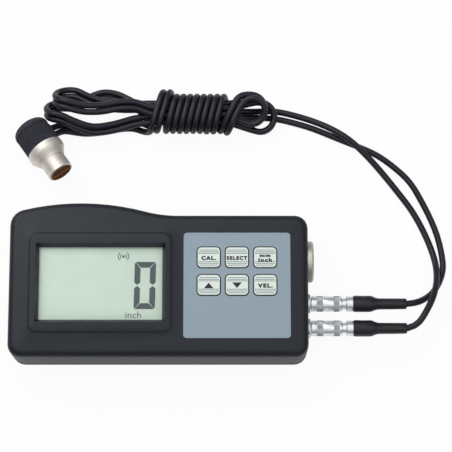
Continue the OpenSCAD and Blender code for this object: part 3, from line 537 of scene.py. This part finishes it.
PROBE_AT = (-58, 71, 8.2)
probe_euler = Euler([math.radians(a) for a in PROBE_TURN])
PROBE_PLACE = Matrix.Translation(PROBE_AT) @ probe_euler.to_matrix().to_4x4()
CAP_R, CAP_EDGE, CAP_L, CAP_BORE = 8.0, 3.0, 13.0, 6.4
CAP_STEPS, PLAIN_TO, PLAIN_FROM = 8, 3.4, 12.6
KNURLS, KNURL_FROM, KNURL_STEP, KNURL_ROWS, KNURL_DEPTH = 48, 3.5, 0.18, 50, 0.4
CAP = [(0, 0.01, 0), (0, CAP_R - CAP_EDGE, 0)]
for i in range(1, CAP_STEPS + 1):
    a = math.radians(90 * i / CAP_STEPS)
    CAP.append((CAP_EDGE - CAP_EDGE * math.cos(a), CAP_R - CAP_EDGE + CAP_EDGE * math.sin(a), 0))
CAP += [(PLAIN_TO, CAP_R, 0)]
CAP += [(KNURL_FROM + KNURL_STEP * i, CAP_R, KNURL_DEPTH) for i in range(KNURL_ROWS)]
CAP += [(PLAIN_FROM, CAP_R, 0), (CAP_L, CAP_R, 0), (CAP_L, CAP_BORE, 0)]
OUTLET_TURN, OUTLET_X, OUTLET_L, OUTLET_W, OUTLET_R = -120, 6.5, 7.4, 4.4, 1.2
OUTLET_ROWS = ((6.4, 0), (8.4, 0), (8.7, 0.3))  # height from the axis, and inset


def outlet_boss():
    """The boss on the cap that the two cords come out of."""
    turn = PROBE_PLACE @ Matrix.Rotation(math.radians(OUTLET_TURN), 4, "X")
    verts, faces = [], []
    for height, inset in OUTLET_ROWS:
        for x, y in rounded(OUTLET_L - 2 * inset, OUTLET_W - 2 * inset, OUTLET_R):
            verts.append(turn @ Vector((OUTLET_X + x, y, height)))
    n = len(verts) // 3
    for a, b in ((0, n), (n, 2 * n)):
        faces += [(a + k, a + (k + 1) % n, b + (k + 1) % n, b + k) for k in range(n)]
    return verts, faces + [tuple(range(2 * n, 3 * n))]


def rounded(l, w, r, count=6):
    """A rounded rectangle about the origin, anticlockwise."""
    points = []
    for cx, cy, a0 in ((1, 1, 0), (-1, 1, 90), (-1, -1, 180), (1, -1, 270)):
        for i in range(count + 1):
            a = math.radians(a0 + 90 * i / count)
            points.append((cx * (l / 2 - r) + r * math.cos(a), cy * (w / 2 - r) + r * math.sin(a)))
    return points


def joined(parts):
    verts, faces = [], []
    for v, f in parts:
        faces += [tuple(k + len(verts) for k in face) for face in f]
        verts += v
    return verts, faces


turned = lathe(CAP, PROBE_PLACE, 6 * KNURLS, KNURLS, cross=KNURLS / CAP_R)
cap = piece("cap_knurled", *joined([turned, outlet_boss()]), cap_mat, "gauge", "case")
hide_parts("probe_cap")


def slab(outline, z0, z1, inner=None):
    """A thin plate from an outline, or a band between two outlines with as many points."""
    n = len(outline)
    rows = [[(x, y, z) for x, y in edge] for edge, z in
            ((outline, z0), (outline, z1), *(((inner, z1), (inner, z0)) if inner else ()))]
    verts = [p for row in rows for p in row]
    if not inner:
        faces = [(k, (k + 1) % n, n + (k + 1) % n, n + k) for k in range(n)]
        return verts, faces + [tuple(range(n, 2 * n)), tuple(range(n - 1, -1, -1))]
    faces = []
    for row in range(4):
        a, b = row * n, (row + 1) % 4 * n
        faces += [(a + k, a + (k + 1) % n, b + (k + 1) % n, b + k) for k in range(n)]
    return verts, faces


def moved(points, x, y):
    return [(x + px, y + py) for px, py in points]


# The barrier between the delay lines, flush with the probe's face
BARRIER_FROM, BARRIER_TO, BARRIER_W, BARRIER_T = 15.5, 27.01, 9.4, 0.5
strip_verts, strip_faces = slab(
    [(BARRIER_FROM, -BARRIER_W / 2), (BARRIER_TO, -BARRIER_W / 2), (BARRIER_TO, BARRIER_W / 2),
     (BARRIER_FROM, BARRIER_W / 2)], -BARRIER_T / 2, BARRIER_T / 2)
strip_verts = [PROBE_PLACE @ Vector(v) for v in strip_verts]
barrier = piece("barrier_strip", strip_verts, strip_faces, barrier_mat, "gauge", "barrier", smooth=False)
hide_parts("acoustic_barrier")


LETTER_SPREAD = 4


def lettering(text, width, height, centre, z0, z1, bold):
    """Letters as a flat mesh, fitted to a box about centre; bold widens strokes and spaces."""
    data = bpy.data.curves.new("letters", "FONT")
    data.body = text
    data.resolution_u = 3
    data.fill_mode = "BOTH"
    data.extrude = 0.01
    data.offset = bold
    data.space_character = 1 + LETTER_SPREAD * bold
    obj = link(bpy.data.objects.new("letters", data))
    mesh = obj.evaluated_get(bpy.context.evaluated_depsgraph_get()).to_mesh()
    xs = [v.co.x for v in mesh.vertices]
    ys = [v.co.y for v in mesh.vertices]
    kx = width / (max(xs) - min(xs))
    ky = height / (max(ys) - min(ys))
    cx, cy = (max(xs) + min(xs)) / 2, (max(ys) + min(ys)) / 2
    x, y = centre
    verts = [(x + (v.co.x - cx) * kx, y + (v.co.y - cy) * ky, z1 if v.co.z > 0 else z0)
             for v in mesh.vertices]
    faces = [tuple(p.vertices) for p in mesh.polygons]
    obj.to_mesh_clear()
    bpy.data.objects.remove(obj)
    bpy.data.curves.remove(data)
    return verts, faces


# Keys: a dark ring of painted shade in each key's gap in the panel's opening, pale stripes and a sign on
# each cap
KEY_TOP = 26.5
KEY_L, KEY_W, KEY_R = 9.3, 8.4, 1.6
KEY_AT = {"calibrate": (21.15, 9.1), "select": (33, 9.1), "units": (44.85, 9.1),
          "raise": (21.15, -2.7), "lower": (33, -2.7), "velocity": (44.85, -2.7)}
PRINT_LOW, PRINT_TOP = KEY_TOP - 0.02, KEY_TOP + 0.015
KEY_BOLD, LCD_BOLD = 0.07, 0.0
# The dark ring in each key's gap is painted shade of the gap between key and panel. It also stands for the
# keypad's printed outline.
GAP_SHADE_LOW, GAP_SHADE_TOP = 25.2, 26.12
GAP_SHADE_OUT, GAP_SHADE_OUT_R = 1.05, 0.45
GAP_SHADE_IN, GAP_SHADE_IN_R = 0.1, 0.05
key_gap_shades = []
for x, y in KEY_AT.values():
    outer = moved(rounded(KEY_L + GAP_SHADE_OUT, KEY_W + GAP_SHADE_OUT, KEY_R + GAP_SHADE_OUT_R), x, y)
    inner = moved(rounded(KEY_L + GAP_SHADE_IN, KEY_W + GAP_SHADE_IN, KEY_R + GAP_SHADE_IN_R), x, y)
    key_gap_shades.append(slab(outer, GAP_SHADE_LOW, GAP_SHADE_TOP, inner))
piece("key_borders", *joined(key_gap_shades), ink_and_gap_shade_mat, "gauge", "panel", smooth=False)

ARROW_W, ARROW_H = 2.05, 1.2
ARROWS = {"raise": (1, -0.3), "lower": (-1, -0.2)}  # way it points, and place above the key's centre
# Lines on a key: text, width, height and place above the key's centre
KEY_LINES = {
    "calibrate": [("CAL.", 6.3, 1.85, -0.35)], "select": [("SELECT", 8.7, 1.75, -0.35)],
    "units": [("mm", 4.6, 1.1, 0.6), ("inch", 5.8, 1.75, -1.2)], "velocity": [("VEL.", 6.3, 1.85, -0.35)]}
# Stripes on a key: place above its centre, and how far each stops short
KEY_STRIPES = ((3.05, 0.5), (2.3, 0.1), (1.65, 0), (-1.9, 0), (-2.65, 0.1), (-3.4, 0.7))
STRIPE_HALF, STRIPE_MARGIN, STRIPE_TOP = 0.17, 0.25, PRINT_TOP - 0.005


def triangle(x, y, up):
    points = [(x - ARROW_W, y - up * ARROW_H), (x + ARROW_W, y - up * ARROW_H), (x, y + up * ARROW_H)]
    return slab(points[::up], PRINT_LOW, PRINT_TOP)


def sign(key):
    """The arrow or the lines of letters on a key."""
    x, y = KEY_AT[key]
    if key in ARROWS:
        up, dy = ARROWS[key]
        return triangle(x, y + dy, up)
    return joined([lettering(text, w, h, (x, y + dy), PRINT_LOW, PRINT_TOP, KEY_BOLD)
                   for text, w, h, dy in KEY_LINES[key]])


for key, (x, y) in KEY_AT.items():
    stripes = []
    for up, inset in KEY_STRIPES:
        half = KEY_L / 2 - STRIPE_MARGIN - inset
        low, high = y + up - STRIPE_HALF, y + up + STRIPE_HALF
        stripes.append(slab([(x - half, low), (x + half, low), (x + half, high), (x - half, high)],
                            PRINT_LOW, STRIPE_TOP))
    piece("stripes_" + key, *joined(stripes), stripe_mat, "key_" + key, "key", smooth=False)
    piece("sign_" + key, *sign(key), ink_and_gap_shade_mat, "key_" + key, "key", smooth=False)


# Display: one digit, its unit and the coupling sign, just above the glass
GLASS_TOP = 22.55
LCD_LOW, LCD_TOP = GLASS_TOP - 0.01, GLASS_TOP + 0.04
DIGIT_X, DIGIT_Y, DIGIT_W, DIGIT_H, STROKE, LEAN = -5.8, -2.25, 9.0, 20.2, 2.5, 0.02
CORNER, BAR_GAP = 0.5, 0.22


def digit_zero():
    """Six bars of a seven-bar figure, mitred where they meet."""
    w, h, s, gap = DIGIT_W / 2, DIGIT_H / 2, STROKE, BAR_GAP
    top = [(-w + gap + CORNER, h), (w - gap - CORNER, h), (w - gap - CORNER / 3, h - CORNER / 3),
           (w - s - gap, h - s), (-w + s + gap, h - s), (-w + gap + CORNER / 3, h - CORNER / 3)]
    side = [(w, h - gap - CORNER), (w, s / 2), (w - s / 2, gap), (w - s, s / 2), (w - s, h - s - gap),
            (w - CORNER, h - gap - CORNER / 3)]
    bars = [top, side, [(-x, y) for x, y in side], [(x, -y) for x, y in side],
            [(-x, -y) for x, y in side], [(x, -y) for x, y in top]]
    out = []
    for bar in bars:
        area = sum(a[0] * b[1] - b[0] * a[1] for a, b in zip(bar, bar[1:] + bar[:1]))
        bar = bar if area > 0 else bar[::-1]
        out.append(slab([(DIGIT_X + x + LEAN * y, DIGIT_Y + y) for x, y in bar], LCD_LOW, LCD_TOP))
    return joined(out)


def arc_band(cx, cy, r, width, a0, a1, count=10):
    outer, inner = [], []
    for i in range(count + 1):
        a = math.radians(a0 + (a1 - a0) * i / count)
        outer.append((cx + (r + width / 2) * math.cos(a), cy + (r + width / 2) * math.sin(a)))
        inner.append((cx + (r - width / 2) * math.cos(a), cy + (r - width / 2) * math.sin(a)))
    return slab(outer + inner[::-1], LCD_LOW, LCD_TOP)


COUPLING_AT, COUPLING_DOT, COUPLING_DOT_R = (-14.9, 10.2), 1.1, 0.54
COUPLING_ARCS, COUPLING_LINE, COUPLING_SPAN = (1.25, 2.2), 0.34, 48
UNIT_AT, UNIT_W, UNIT_H = (-10.6, -14.85), 6.5, 2.7


def coupling_sign():
    """A dot between two pairs of arcs."""
    cx, cy = COUPLING_AT
    dot = rounded(COUPLING_DOT, COUPLING_DOT, COUPLING_DOT_R)
    bands = [slab(moved(dot, cx, cy), LCD_LOW, LCD_TOP)]
    for r in COUPLING_ARCS:
        for middle in (0, 180):
            bands.append(arc_band(cx, cy, r, COUPLING_LINE, middle - COUPLING_SPAN, middle + COUPLING_SPAN))
    return joined(bands)


unit = lettering("inch", UNIT_W, UNIT_H, UNIT_AT, LCD_LOW, LCD_TOP, LCD_BOLD)
signs = [digit_zero(), coupling_sign(), unit]
piece("lcd_signs", *joined(signs), segment_mat, "gauge", "display", smooth=False)


# CAD nodes that stay: a material, and smooth shading between sharp edges
NODE_LOOKS = {
    "front_case": case_mat, "rear_case": case_mat, "battery_cover": case_mat, "case_screws": steel_mat,
    "display_window": window_mat, "display_glass": lcd_mat, "display_frame": white_mat,
    "contact_strips": strip_mat, "keypad_panel": panel_mat, "main_board": board_mat,
    "board_chips": black_mat, "key_switches": black_mat, "board_screws": steel_mat,
    "calibration_block": block_mat,
    "contacts_left": nickel_mat, "contacts_right": nickel_mat, "socket_upper": nickel_mat,
    "socket_lower": nickel_mat, "socket_nuts": nickel_mat, "plug_core_upper": chrome_mat,
    "plug_core_lower": chrome_mat, "collet_nut_upper": chrome_mat, "collet_nut_lower": chrome_mat,
    "probe_shell": shell_mat, "delay_line_a": delay_mat, "delay_line_b": delay_mat,
    "crystal_a": crystal_mat, "crystal_b": crystal_mat, "probe_backing": backing_mat}
for i in range(4):
    NODE_LOOKS["cell_%d" % (i + 1)] = cell_mat
for key in KEY_AT:
    NODE_LOOKS["key_" + key] = key_mat
WELD_WITHIN = 0.002
NODE_EDGE = 32  # degrees from which an edge stays sharp


def dress(obj, mat):
    """One material, welded faces and smooth shading between sharp edges."""
    mesh = obj.data
    mesh.materials.clear()
    mesh.materials.append(mat)
    mesh.polygons.foreach_set("use_smooth", [True] * len(mesh.polygons))
    if "custom_normal" in mesh.attributes:
        mesh.attributes.remove(mesh.attributes["custom_normal"])
    weld = obj.modifiers.new("weld", "WELD")
    weld.merge_threshold = WELD_WITHIN * MM
    split = obj.modifiers.new("split", "EDGE_SPLIT")
    split.split_angle = math.radians(NODE_EDGE)


for name, mat in NODE_LOOKS.items():
    dress(nodes[name], mat)

for side, cord in cords.items():
    ends = ["plug_core_" + side, "collet_nut_" + side]
    ends += ["probe_shell", "delay_line_a", "delay_line_b"]
